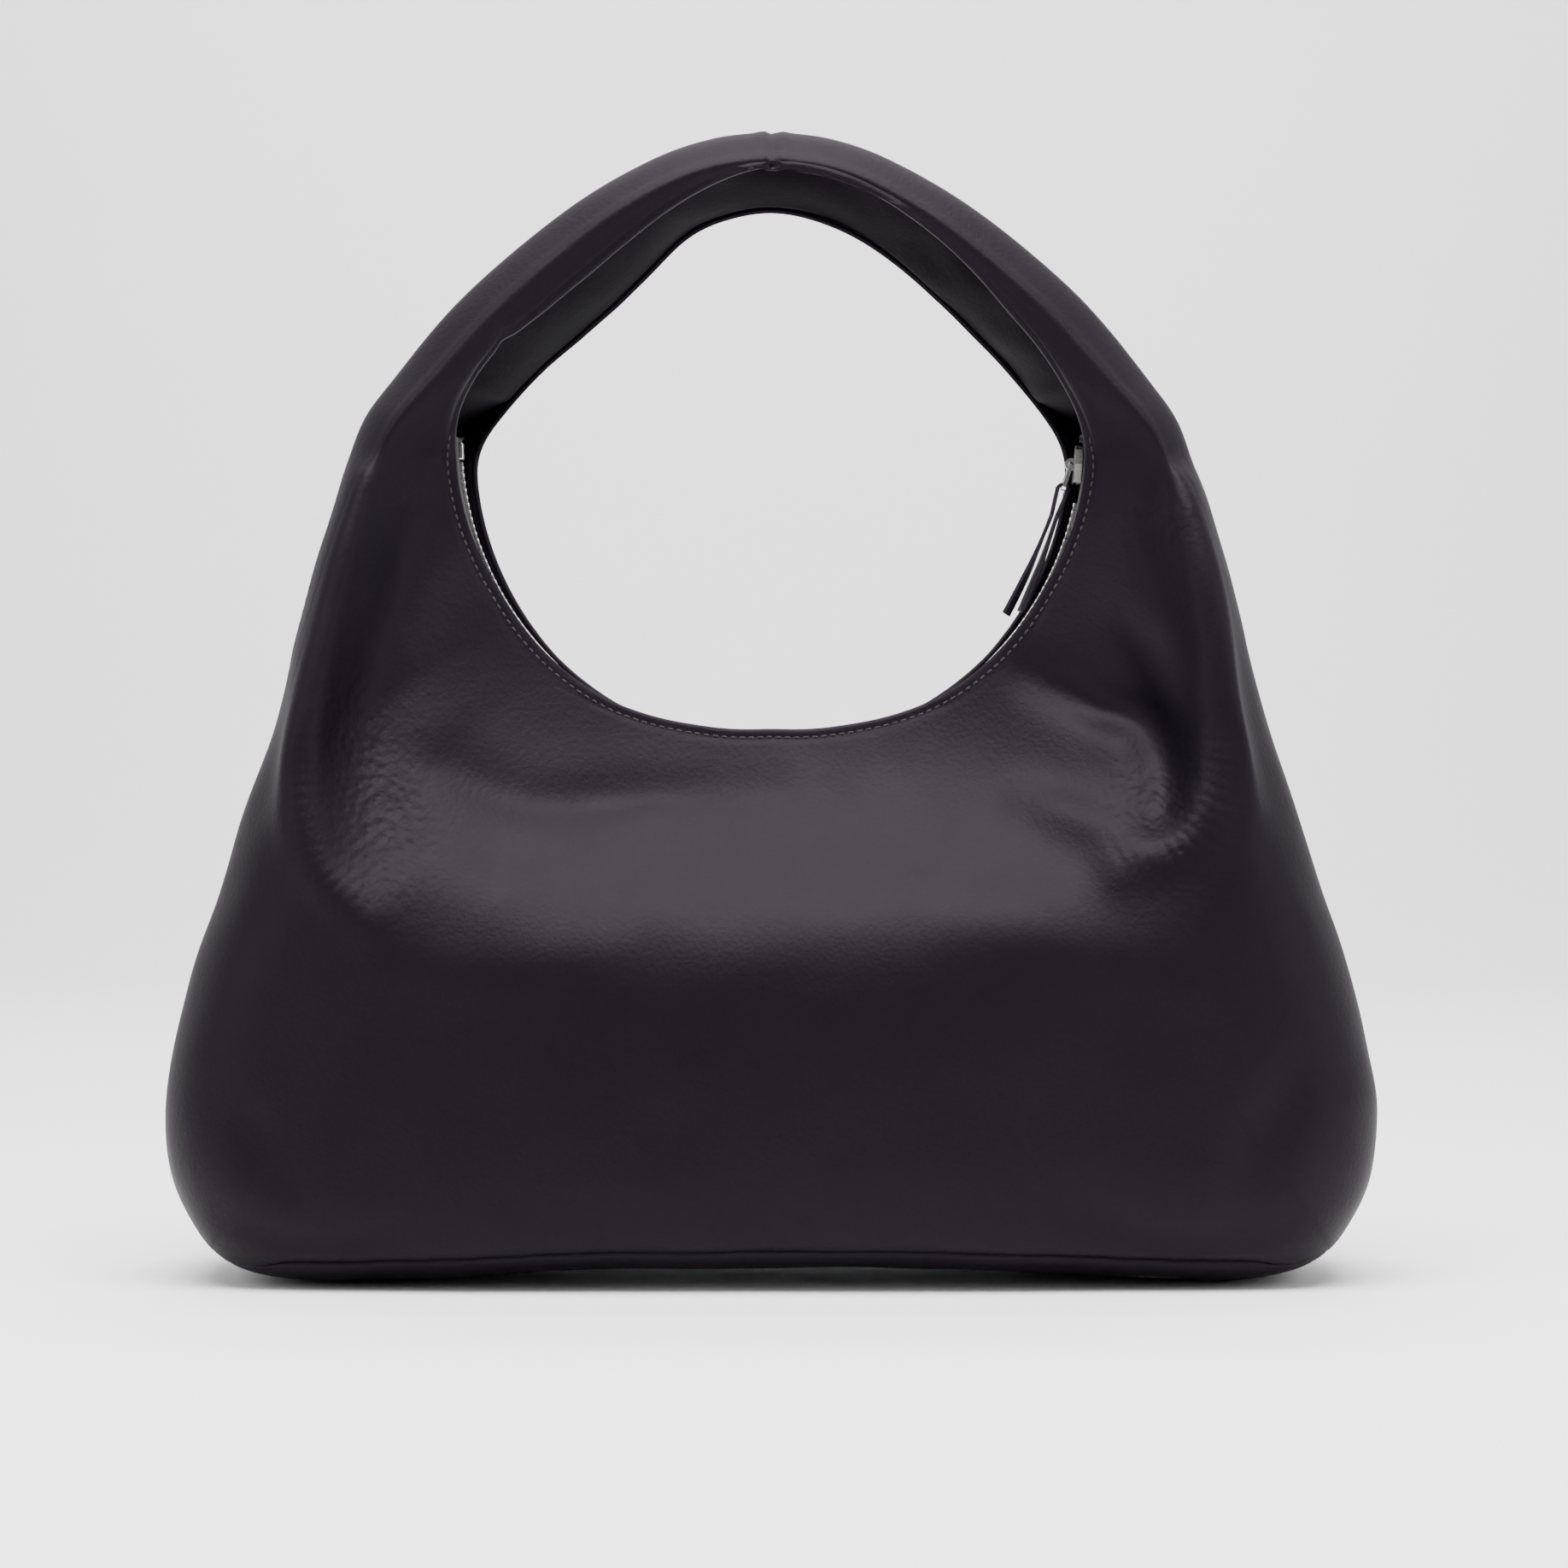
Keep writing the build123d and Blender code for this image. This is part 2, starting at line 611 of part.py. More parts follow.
PULLER_LENGTH = 18.0
PULLER_THICKNESS = 0.9
PULLER_BAR = 0.45          # half the width of the bar that turns in the crown
PULLER_WINDOW = 1.4
with BuildPart() as pocket_puller:
    with BuildSketch(tape_plane.offset(puller_pivot_height - PULLER_THICKNESS / 2)):
        with Locations((pocket_slider_x - PULLER_LENGTH / 2 + PULLER_BAR, POCKET_ZIP_Z)):
            RectangleRounded(PULLER_LENGTH, 5.2, 1.0)
        with Locations((pocket_slider_x - PULLER_BAR - PULLER_WINDOW / 2, POCKET_ZIP_Z)):
            Rectangle(PULLER_WINDOW, 2.2, mode=Mode.SUBTRACT)
    extrude(amount=PULLER_THICKNESS)
pocket_puller.part.label = "pocket_puller"

# ---- Write one STEP per piece ----
pieces = [
    front_panel.part,
    back_panel.part,
    base_panel.part,
    handle_facing.part,
    handle_core.part,
    handle_webbing.part,
    base_board.part,
    lining_front.part,
    lining_back.part,
    *rim_facings.values(),
    *zip_tapes.values(),
    *zip_teeth.values(),
    zip_bottom_stop.part,
    zip_top_stops.part,
    slider_body.part,
    slider_bail.part,
    pull_loop.part,
    *pull_tails.values(),
    pocket_panel.part,
    pocket_zip_tape.part,
    pocket_teeth.part,
    pocket_stops.part,
    pocket_slider.part,
    pocket_puller.part,
]
os.makedirs("parts", exist_ok=True)
for piece in pieces:
    export_step(piece, f"parts/{piece.label}.step")
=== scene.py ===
import json
from math import cos, pi, radians, sin

import bpy
import numpy as np
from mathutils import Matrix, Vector


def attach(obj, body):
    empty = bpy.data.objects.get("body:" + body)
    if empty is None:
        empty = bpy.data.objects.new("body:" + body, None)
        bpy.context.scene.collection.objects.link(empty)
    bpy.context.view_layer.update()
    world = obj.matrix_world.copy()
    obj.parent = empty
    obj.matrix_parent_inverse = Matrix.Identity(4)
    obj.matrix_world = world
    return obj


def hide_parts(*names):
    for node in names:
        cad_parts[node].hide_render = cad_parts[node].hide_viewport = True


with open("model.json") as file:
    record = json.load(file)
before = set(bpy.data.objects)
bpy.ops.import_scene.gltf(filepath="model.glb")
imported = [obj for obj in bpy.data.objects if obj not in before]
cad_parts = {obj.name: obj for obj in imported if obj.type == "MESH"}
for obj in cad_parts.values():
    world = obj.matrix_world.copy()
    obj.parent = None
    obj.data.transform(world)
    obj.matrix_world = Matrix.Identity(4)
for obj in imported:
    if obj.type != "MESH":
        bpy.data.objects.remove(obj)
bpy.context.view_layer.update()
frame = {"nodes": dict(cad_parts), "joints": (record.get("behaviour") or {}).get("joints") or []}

# Leather hobo bag. Shapes are worked out in millimetres and turned into metres in new_mesh().
# The bag's skin is one grid: columns run once round the hole, rows run from the front rim over the
# outside to the back rim. Angles round the hole are counted from straight down, towards +X.

MM = 0.001
joints = {joint["name"]: joint for joint in frame["joints"]}
RING_Z = joints["zip_travel"]["pos_m"][2] / MM
BASE_SEAM_Z = 9.0
LEATHER = 1.8
COLUMNS = 640
FRONT_ROWS = 76            # front panel, from its rim to the side or base seam
BASE_ROWS = 44             # base panel, from its front seam to its back seam
RIM_TURN = 5.5             # how far the pieces inside the handle stay from its inner and outer edge

# Outline of the bag seen from the front, right half from the base's middle to the handle's top
OUTLINE = [
    (0, 0), (60, 0), (120, 0), (150, 0.3), (170, 2.8), (182, 8.5), (190, 18), (197, 32), (199.6, 50),
    (198.6, 68), (192.3, 97), (183, 125), (174, 154), (165.3, 182), (157.3, 211), (150, 239),
    (143, 264), (136.5, 282), (126, 297), (102.5, 325), (69.5, 353), (41, 370), (20, 377.6), (0, 380),
]
LEFT_INSET = 1.6           # the left side between shoulder and waist is a little narrower

# Sections of the skin at some angles round the hole: radius of the front rim and of the back rim,
# distance of the rims from the middle plane, the ridge (radius, half depth), the edge where the side
# begins (distance inside the outline, half depth), and half depth where side or base turns flat
SECTIONS = [
    # angle, front, back, rim, ridge radius, ridge depth, edge inset, edge depth, corner depth
    (0, 96, 99.5, 8.0, 164, 62, 17, 67, 50),
    (15, 98, 100.5, 8.0, 169, 62, 18, 67, 50),
    (30, 101.5, 101.5, 8.0, 183, 61, 24, 65, 48),
    (38, 102.5, 101.5, 8.0, 193, 59.5, 26, 58, 40),
    (45, 103, 101.5, 8.0, 199, 57, 24, 48, 30),
    (52, 103.2, 101, 8.0, 193, 52.5, 17, 41, 26),
    (60, 103.2, 100.5, 8.0, 175, 46.5, 10, 37, 24),
    (70, 104, 100, 8.0, 156, 39, 6, 32, 20),
    (80, 104.6, 99.5, 8.4, 143.5, 32, 5, 27, 17),
    (88, 104.4, 99, 10.5, 135, 28.5, 6, 24, 15),
    (95, 101, 93, 15.0, 126, 25.5, 8, 21.5, 13),
    (105, 94.5, 84.5, 17.5, 112, 23, 8, 19, 11),
    (118, 87.5, 77, 17.2, 103, 21, 7.5, 17.5, 10),
    (132, 85.5, 73.5, 16.3, 97, 19.8, 6.5, 16, 9.5),
    (146, 85.5, 73.5, 15.4, 94, 18.8, 5.5, 15, 9),
    (160, 87.5, 75.5, 14.8, 94, 18.2, 5, 14.5, 9),
    (180, 90, 78.5, 14.5, 95.5, 18, 5, 14.2, 9),
]
# The left arm differs: its front edge is a soft crease and its underside hangs a little lower
LEFT_ARM = {95: (103.5, 92), 105: (97, 83), 118: (85, 73.5), 132: (79.5, 69), 146: (79.5, 70), 160: (83, 76)}

# Folds in the front, as seen from the front: points (x, z), half width, height (negative is a valley)
FRONT_FOLDS = [
    ([(-112, 246), (-124, 206), (-130, 172), (-124, 145)], 12.0, -5.4),
    ([(-134, 262), (-147, 212), (-150, 168), (-146, 138), (-130, 120)], 7.5, 4.2),
    ([(134, 262), (142, 208), (142, 168), (132, 145), (112, 136)], 7.5, 4.2),
    ([(86, 200), (104, 191), (120, 184), (126, 168), (126, 156)], 8.0, -6.5),
    ([(84, 158), (98, 152), (114, 146)], 8.0, 2.6),
    ([(118, 214), (126, 204), (132, 190)], 7.0, 2.4),
    ([(-115, 172), (-80, 158), (-40, 160), (0, 162)], 8.0, -2.2),
    ([(-134, 275), (-122, 269), (-104, 269)], 9.0, -1.4),
    ([(140, 272), (128, 266), (119, 254)], 9.5, -2.0),
    ([(-158, 200), (-163, 178), (-166, 156)], 5.0, -1.0),
    ([(156, 206), (160, 182), (164, 160)], 6.0, -1.0),
    ([(60, 118), (100, 112), (132, 100)], 12.0, 1.5),
    ([(-136, 112), (-100, 104), (-50, 106)], 12.0, 1.4),
    ([(-172, 60), (-160, 46), (-150, 28)], 9.0, -1.8),
    ([(168, 70), (158, 50), (150, 30)], 9.0, -2.2),
    ([(100, 24), (135, 17), (165, 22)], 6.0, -2.0),
    ([(-120, 20), (-150, 16), (-175, 24)], 6.0, -1.8),
    ([(-88, 309), (-84, 302), (-80, 299)], 3.0, -2.2),
]
BACK_FOLDS = [
    ([(-120, 226), (-134, 196), (-142, 170)], 8.0, -3.2),
    ([(112, 230), (128, 200), (140, 168)], 9.0, -3.8),
    ([(-60, 154), (-10, 148), (50, 152)], 10.0, -2.2),
    ([(-90, 118), (-30, 100), (40, 96)], 13.0, 1.8),
    ([(136, 272), (126, 266), (118, 255)], 9.0, -1.6),
    ([(-138, 272), (-126, 266), (-117, 256)], 9.0, -1.4),
    ([(168, 64), (158, 48), (150, 26)], 9.0, -2.0),
    ([(-166, 66), (-156, 48), (-148, 26)], 9.0, -2.0),
]

# Where the leather's grain is creased: middle x and z, half width, half height
CREASED = [
    (-124, 150, 16, 26), (125, 152, 15, 20), (-136, 178, 8, 18), (128, 250, 12, 10), (-122, 258, 10, 10),
]


# ---- Small tools ----
def catmull(points, samples):
    """A smooth curve through points, in the plane, with samples points on each stretch."""
    p = np.array(points, float)
    p = np.vstack([2 * p[0] - p[1], p, 2 * p[-1] - p[-2]])
    out = []
    for a, b, c, d in zip(p, p[1:], p[2:], p[3:]):
        t = np.linspace(0, 1, samples, endpoint=False)[:, None]
        out.append(
            0.5 * (2 * b + (c - a) * t + (2 * a - 5 * b + 4 * c - d) * t**2 + (3 * b - a - 3 * c + d) * t**3)
        )
    return np.vstack([*out, p[-2:-1]])


def distance_along(points):
    """Distance of each point of a polyline from its first point, along the line."""
    return np.concatenate([[0], np.cumsum(np.linalg.norm(np.diff(points, axis=0), axis=1))])


def resample(points, count, closed=False):
    """count points evenly spaced along a polyline."""
    if closed:
        points = np.vstack([points, points[:1]])
    along = distance_along(points)
    wanted = np.linspace(0, along[-1], count, endpoint=not closed)
    return np.stack([np.interp(wanted, along, points[:, k]) for k in range(points.shape[1])], axis=1)


def bspline_basis(controls, parameters):
    """Weights of a clamped cubic B-spline's control points at the given parameters, 0 to 1."""
    degree = 3
    inner = np.linspace(0, 1, controls - degree + 1)
    knots = np.concatenate([[0] * degree, inner, [1] * degree])
    u = np.clip(parameters, 0, 1 - 1e-9)[..., None]
    weights = ((knots[:-1] <= u) & (u < knots[1:])).astype(float)
    for p in range(1, degree + 1):
        n = len(knots) - 1 - p
        low, high = knots[p : p + n] - knots[:n], knots[p + 1 : p + 1 + n] - knots[1 : n + 1]
        left = np.where(low > 0, (u - knots[:n]) / np.where(low > 0, low, 1), 0)
        right = np.where(high > 0, (knots[p + 1 : p + 1 + n] - u) / np.where(high > 0, high, 1), 0)
        weights = left * weights[..., :n] + right * weights[..., 1 : n + 1]
    return weights


def smooth_round(values, reach):
    """Values round the hole, smoothed over a number of columns."""
    kernel = np.hanning(2 * reach + 3)[1:-1]
    kernel /= kernel.sum()
    padded = np.concatenate([values[-reach:], values, values[:reach]])
    return np.convolve(padded, kernel, "valid")


def distance_to(points, x, z):
    """Distance of each (x, z) from a polyline, and how far along it the nearest point is, 0 to 1."""
    line = resample(catmull(points, 12), 40)
    best = np.full(x.shape, 1e9)
    where = np.zeros(x.shape)
    for number, (px, pz) in enumerate(line):
        away = np.hypot(x - px, z - pz)
        nearer = away < best
        best = np.where(nearer, away, best)
        where = np.where(nearer, number / (len(line) - 1), where)
    return best, where


def fold_height(folds, x, z):
    """Height of all folds at each (x, z): rounded waves that fade out at both ends."""
    total = np.zeros(x.shape)
    for points, width, height in folds:
        away, where = distance_to(points, x, z)
        fade = np.sin(pi * np.clip(0.12 + 0.76 * where, 0, 1)) ** 0.6
        total += height * fade * np.exp(-((away / width) ** 2))
    return total


def noise_field(x, y, z, size, seed):
    """Smooth noise made of a few dozen waves, about -1 to 1."""
    rng = np.random.default_rng(seed)
    total = np.zeros(x.shape)
    for _ in range(24):
        direction = rng.normal(size=3)
        direction *= rng.uniform(0.6, 1.5) / (np.linalg.norm(direction) * size)
        waves = direction[0] * x + direction[1] * y + direction[2] * z
        total += np.sin(2 * pi * waves + rng.uniform(0, 2 * pi))
    return total / 24**0.5


def new_mesh(name, verts, faces):
    """A smooth-shaded object from points in millimetres."""
    mesh = bpy.data.meshes.new(name)
    mesh.from_pydata((np.asarray(verts) * MM).tolist(), [], [tuple(f) for f in faces])
    mesh.validate()
    mesh.update()
    for polygon in mesh.polygons:
        polygon.use_smooth = True
    piece = bpy.data.objects.new(name, mesh)
    bpy.context.scene.collection.objects.link(piece)
    return piece


def grid_faces(columns, rows, around):
    """Quads of a grid whose vertex number is column * rows + row."""
    faces = []
    for i in range(columns if around else columns - 1):
        j = (i + 1) % columns
        for k in range(rows - 1):
            faces.append((i * rows + k, i * rows + k + 1, j * rows + k + 1, j * rows + k))
    return faces


def tube_faces(rings, ring, first=0):
    """Quads and end caps of a closed tube of rings with ring points each, numbered from first."""
    faces = []
    for a in range(rings - 1):
        here, there = first + a * ring, first + (a + 1) * ring
        for k in range(ring):
            b = (k + 1) % ring
            faces.append((here + k, here + b, there + b, there + k))
    last = first + (rings - 1) * ring
    faces.append(tuple(first + k for k in reversed(range(ring))))
    faces.append(tuple(last + k for k in range(ring)))
    return faces


def thicken(piece, thickness, offset=-1.0):
    """Gives a surface its thickness: inwards at an offset of -1, to both sides at 0."""
    solid = piece.modifiers.new("thickness", "SOLIDIFY")
    solid.thickness = thickness * MM
    solid.offset = offset
    solid.use_even_offset = False


# ---- Camera ----
FRAME_WIDTH = 523.3 * MM
DISTANCE = 1.35
camera = bpy.data.objects.new("camera", bpy.data.cameras.new("camera"))
bpy.context.scene.collection.objects.link(camera)
camera.data.sensor_width = 36
camera.data.lens = 36 * DISTANCE / FRAME_WIDTH
camera.location = (4.3 * MM, -DISTANCE, 163 * MM)
camera.rotation_euler = (pi / 2, 0, 0)
bpy.context.scene.camera = camera


# ---- Materials ----
def node_material(name):
    """A new material with its node tree, its shader and the object's own coordinates."""
    material = bpy.data.materials.new(name)
    material.use_nodes = True
    tree = material.node_tree
    shader = tree.nodes["Principled BSDF"]
    place = tree.nodes.new("ShaderNodeTexCoord")
    return material, tree, shader, place.outputs["Object"]


def noise(tree, place, scale, detail=3.0, roughness=0.5, stretch=None):
    """Cloudy noise, 0 to 1, stretched by a factor along each axis if stretch is given."""
    if stretch:
        mapping = tree.nodes.new("ShaderNodeMapping")
        mapping.inputs["Scale"].default_value = stretch
        tree.links.new(place, mapping.inputs["Vector"])
        place = mapping.outputs["Vector"]
    texture = tree.nodes.new("ShaderNodeTexNoise")
    texture.inputs["Scale"].default_value = scale
    texture.inputs["Detail"].default_value = detail
    texture.inputs["Roughness"].default_value = roughness
    tree.links.new(place, texture.inputs["Vector"])
    return texture.outputs["Fac"]


def voronoi(tree, place, scale, feature="F1"):
    """Distance from the middle of each cell."""
    texture = tree.nodes.new("ShaderNodeTexVoronoi")
    texture.feature = feature
    texture.inputs["Scale"].default_value = scale
    tree.links.new(place, texture.inputs["Vector"])
    return texture.outputs["Distance"]


def wave(tree, place, scale, direction, distortion=0.0):
    """Parallel bands across one axis."""
    texture = tree.nodes.new("ShaderNodeTexWave")
    texture.bands_direction = direction
    texture.inputs["Scale"].default_value = scale
    texture.inputs["Distortion"].default_value = distortion
    tree.links.new(place, texture.inputs["Vector"])
    return texture.outputs["Fac"]


def ramp(tree, value, stops):
    """A colour for each value, from stops of (value, colour)."""
    node = tree.nodes.new("ShaderNodeValToRGB")
    elements = node.color_ramp.elements
    while len(elements) < len(stops):
        elements.new(0.5)
    for element, (place, colour) in zip(elements, stops):
        element.position = place
        element.color = (*colour, 1)
    tree.links.new(value, node.inputs["Fac"])
    return node.outputs["Color"]


def math(tree, operation, first, second):
    """A sum or product of two sockets, or of a socket and a number."""
    node = tree.nodes.new("ShaderNodeMath")
    node.operation = operation
    for socket, value in zip(node.inputs, (first, second)):
        if isinstance(value, (int, float)):
            socket.default_value = value
        else:
            tree.links.new(value, socket)
    return node.outputs[0]


def add_bump(tree, shader, layers):
    """Bump nodes in a chain: (height, strength, distance in metres)."""
    normal = None
    for height, strength, distance in layers:
        bump = tree.nodes.new("ShaderNodeBump")
        bump.inputs["Strength"].default_value = strength
        bump.inputs["Distance"].default_value = distance
        tree.links.new(height, bump.inputs["Height"])
        if normal:
            tree.links.new(normal, bump.inputs["Normal"])
        normal = bump.outputs["Normal"]
    tree.links.new(normal, shader.inputs["Normal"])


def add_roughness(tree, shader, value, low, high):
    """Roughness between low and high, as value goes from 0 to 1."""
    gloss = tree.nodes.new("ShaderNodeMapRange")
    gloss.inputs["To Min"].default_value = low
    gloss.inputs["To Max"].default_value = high
    tree.links.new(value, gloss.inputs["Value"])
    tree.links.new(gloss.outputs["Result"], shader.inputs["Roughness"])


def leather_material(name, dark, light, low=0.46, high=0.62, grain=1.0, shine=0.15):
    """Leather: cloudy colour between dark and light, pores, fine grain, and crackle where it is creased."""
    material, tree, shader, place = node_material(name)
    clouds = noise(tree, place, 9, 4, 0.55)
    tree.links.new(ramp(tree, clouds, [(0.3, dark), (0.72, light)]), shader.inputs["Base Color"])
    pores = voronoi(tree, place, 1150)
    cells = voronoi(tree, place, 620, "SMOOTH_F1")
    fine = noise(tree, place, 900, 3, 0.6)
    soft = noise(tree, place, 62, 4, 0.55)
    waves = noise(tree, place, 22, 3, 0.5)
    uneven = math(tree, "MULTIPLY", math(tree, "ADD", soft, fine), 0.5)
    add_roughness(tree, shader, uneven, low, high)
    shader.inputs["Specular IOR Level"].default_value = shine
    shader.inputs["Specular Tint"].default_value = (1.0, 0.78, 0.98, 1)
    shader.inputs["IOR"].default_value = 1.45
    mask = tree.nodes.new("ShaderNodeAttribute")
    mask.attribute_name = "crease_grain"
    crackle = math(tree, "MULTIPLY", voronoi(tree, place, 330, "SMOOTH_F1"), mask.outputs["Fac"])
    layers = [
        (waves, 0.12, 0.003), (soft, 0.10, 0.001), (crackle, 0.55, 0.0009),
        (cells, 0.22 * grain, 0.00035), (pores, 0.18 * grain, 0.0002), (fine, 0.12 * grain, 0.0002),
    ]
    add_bump(tree, shader, layers)
    return material


def cloth_material(name, dark, light, thread, rough=0.85):
    """Woven cloth with thread waves to the metre, between two colours: lighter where the thread crossings
    stand up and darker between them, which is painted shade in the weave's hollows, with a random tone from
    noise.
    """
    material, tree, shader, place = node_material(name)
    warp = wave(tree, place, thread, "X", 0.4)
    weft = wave(tree, place, thread, "Z", 0.4)
    weave = math(tree, "MULTIPLY", warp, weft)
    # the colour follows the weave's height: painted shade between the thread crossings
    weave_shade = math(tree, "MULTIPLY", weave, 0.6)
    tint = math(tree, "ADD", weave_shade, math(tree, "MULTIPLY", noise(tree, place, 40), 0.4))
    tree.links.new(ramp(tree, tint, [(0.2, dark), (0.8, light)]), shader.inputs["Base Color"])
    shader.inputs["Roughness"].default_value = rough
    shader.inputs["Sheen Weight"].default_value = 0.15
    add_bump(tree, shader, [(weave, 0.6, 0.0002)])
    return material


def metal_material(name, colour, worn, low=0.12, high=0.28):
    """Metal with fine scratches and slightly duller, worn patches."""
    material, tree, shader, place = node_material(name)
    scratches = noise(tree, place, 420, 4, 0.6, (1, 1, 5))
    wear = ramp(tree, noise(tree, place, 120, 3), [(0.3, worn), (0.7, colour)])
    tree.links.new(wear, shader.inputs["Base Color"])
    add_roughness(tree, shader, scratches, low, high)
    shader.inputs["Metallic"].default_value = 1.0
    add_bump(tree, shader, [(scratches, 0.12, 0.0001)])
    return material


def foam_material(name, dark, light):
    """Open foam with small pits, painted darker: painted shade in the pits."""
    material, tree, shader, place = node_material(name)
    pits_and_painted_shade = voronoi(tree, place, 900)
    # the pits are painted darker than the foam: painted shade, not the foam's own colour
    tree.links.new(ramp(tree, pits_and_painted_shade, [(0.1, dark), (0.6, light)]), shader.inputs["Base Color"])
    shader.inputs["Roughness"].default_value = 0.9
    add_bump(tree, shader, [(pits_and_painted_shade, 0.6, 0.0004)])
    return material


leather = leather_material("nappa_leather", (0.0011, 0.0008, 0.0018), (0.0028, 0.0016, 0.0034))
edge_leather = leather_material(
    "edge_leather", (0.0006, 0.0005, 0.0010), (0.0016, 0.0009, 0.0020), low=0.6, high=0.75, shine=0.06
)
pull_leather = leather_material(
    "pull_leather", (0.0065, 0.0055, 0.0075), (0.013, 0.0105, 0.0145), low=0.38, high=0.5, grain=1.4
)
# in these cloths and in webbing_cloth, each darker colour is painted shade between the thread crossings,
# mixed with random tone
lining_cloth = cloth_material("lining_cloth", (0.012, 0.010, 0.012), (0.045, 0.038, 0.045), 900)
tape_cloth = cloth_material("zip_tape_cloth", (0.003, 0.003, 0.0035), (0.013, 0.012, 0.014), 1400)
thread_material = cloth_material("thread", (0.003, 0.0026, 0.0036), (0.009, 0.0075, 0.010), 2600, 0.7)
nickel = metal_material("polished_nickel", (0.86, 0.85, 0.84), (0.66, 0.64, 0.63))
pocket_steel = metal_material("pocket_steel", (0.55, 0.55, 0.56), (0.35, 0.35, 0.36), 0.25, 0.42)
# the foam's darker colour is painted shade in its pits
foam = foam_material("handle_foam", (0.25, 0.23, 0.19), (0.7, 0.66, 0.56))
webbing_cloth = cloth_material("webbing_cloth", (0.01, 0.01, 0.01), (0.06, 0.06, 0.06), 700)
board = leather_material("fibreboard", (0.12, 0.09, 0.06), (0.24, 0.18, 0.12), low=0.8, high=0.95, grain=0.6)


# ---- The skin's grid ----
def outline():
    """The whole outline seen from the front, from the base's middle up the right and down the left."""
    right = catmull(OUTLINE, 10)
    left = right.copy()
    waist = np.clip((right[:, 1] - 130) / 50, 0, 1) * np.clip((285 - right[:, 1]) / 40, 0, 1)
    left[:, 0] = -(right[:, 0] - LEFT_INSET * waist)
    return resample(np.vstack([right[:-1], left[::-1][:-1]]), COLUMNS, closed=True)


edge = outline()
angle = np.degrees(np.arctan2(edge[:, 0], RING_Z - edge[:, 1]))
out_radius = np.hypot(edge[:, 0], RING_Z - edge[:, 1])
keys = np.array(SECTIONS, float)


def by_angle(column):
    """One column of SECTIONS at every angle of the grid, with the left arm's own values."""
    values = np.interp(np.abs(angle), keys[:, 0], keys[:, column])
    if column in (1, 2):
        left_keys = keys.copy()
        for place, radii in LEFT_ARM.items():
            left_keys[left_keys[:, 0] == place, column] = radii[column - 1]
        values = np.where(angle < 0, np.interp(-angle, left_keys[:, 0], left_keys[:, column]), values)
    return smooth_round(values, 9)


front_rim, back_rim, rim_depth = by_angle(1), by_angle(2), by_angle(3)
ridge_radius, ridge_depth = by_angle(4), by_angle(5)
edge_inset, edge_depth, corner_depth = by_angle(6), by_angle(7), by_angle(8)
ridge_radius = smooth_round(np.minimum(ridge_radius, out_radius - edge_inset - 9), 6)
is_arm = np.clip((np.abs(angle) - 86) / 14, 0, 1)


def columns_within(limit):
    """The columns less than limit degrees from straight down, from left to right."""
    columns = np.where(np.abs(angle) < limit)[0]
    return columns[np.argsort(angle[columns])]


def half_controls(rim_radius, sag, back):
    """Control points of one half of every section, rim first: (columns, 8, radius and half depth)."""
    # from the rim up a hollow to the ridge: flat near the rim on the body, round at once on the arm
    span, rise = ridge_radius - rim_radius, ridge_depth - rim_depth
    fuller = 1.03 if back else 1.0
    hollow = [
        (rim_radius, rim_depth),
        (rim_radius + span * 0.10, rim_depth + rise * (0.055 + 0.6 * is_arm)),
        (rim_radius + span * 0.42, rim_depth + rise * (0.34 - sag + (0.62 + sag) * is_arm)),
        (rim_radius + span * 0.76, rim_depth + rise * (0.80 - sag + (0.2 + sag) * is_arm)),
        (ridge_radius + 3, (ridge_depth + 1.8) * fuller),
    ]
    # from the ridge over a bulge to the edge, and down the side or base to the outline
    edge_radius = out_radius - edge_inset
    middle = 0.5 * (ridge_radius + 3 + edge_radius)
    bulge = 3.0 * np.clip(1 - np.abs(angle) / 50, 0, 1)
    outer = [
        (middle, (0.5 * (ridge_depth + edge_depth) + bulge) * fuller),
        (edge_radius, edge_depth),
        (out_radius, corner_depth),
    ]
    return np.stack([np.stack(point, axis=1) for point in hollow + outer], axis=1)


front_half = half_controls(front_rim, 0.06, False)
back_half = half_controls(back_rim, 0.03, True)
middle_point = np.stack([out_radius, np.zeros(COLUMNS)], axis=1)[:, None]
front_signed = front_half * [1, -1]
controls = np.concatenate([front_signed, middle_point, back_half[:, ::-1]], axis=1)
CONTROLS = controls.shape[1]


def section_points(parameters):
    """Radius and depth on every column at its own parameters, an array of (columns, rows)."""
    weights = bspline_basis(CONTROLS, parameters)
    return np.einsum("crk,ckd->crd", weights, controls)


def round_hole(radius, depth, columns):
    """Points (x, y, z) from radius and depth on some columns, arrays of (columns, rows)."""
    turn = np.radians(angle[columns])[:, None]
    return np.stack([radius * np.sin(turn), depth, RING_Z - radius * np.cos(turn)], axis=-1)


def to_space(polar):
    """Points (x, y, z) from (radius, depth) on all columns."""
    return round_hole(polar[..., 0], polar[..., 1], slice(None))


def seam_parameters():
    """Where the base seam crosses each column, front and back; the side seam where there is no base."""
    half = 400
    fine = np.tile(np.linspace(0, 1, 2 * half + 1), (COLUMNS, 1))
    z = to_space(section_points(fine))[..., 2]
    low_front = np.argmax(z[:, :half] < BASE_SEAM_Z, axis=1) / (2 * half)
    low_back = 1 - np.argmax(z[:, ::-1][:, :half] < BASE_SEAM_Z, axis=1) / (2 * half)
    under = np.any(z[:, :half] < BASE_SEAM_Z, axis=1)
    front = np.where(under, low_front, 0.5)
    back = np.where(under, low_back, 0.5)
    return front, back


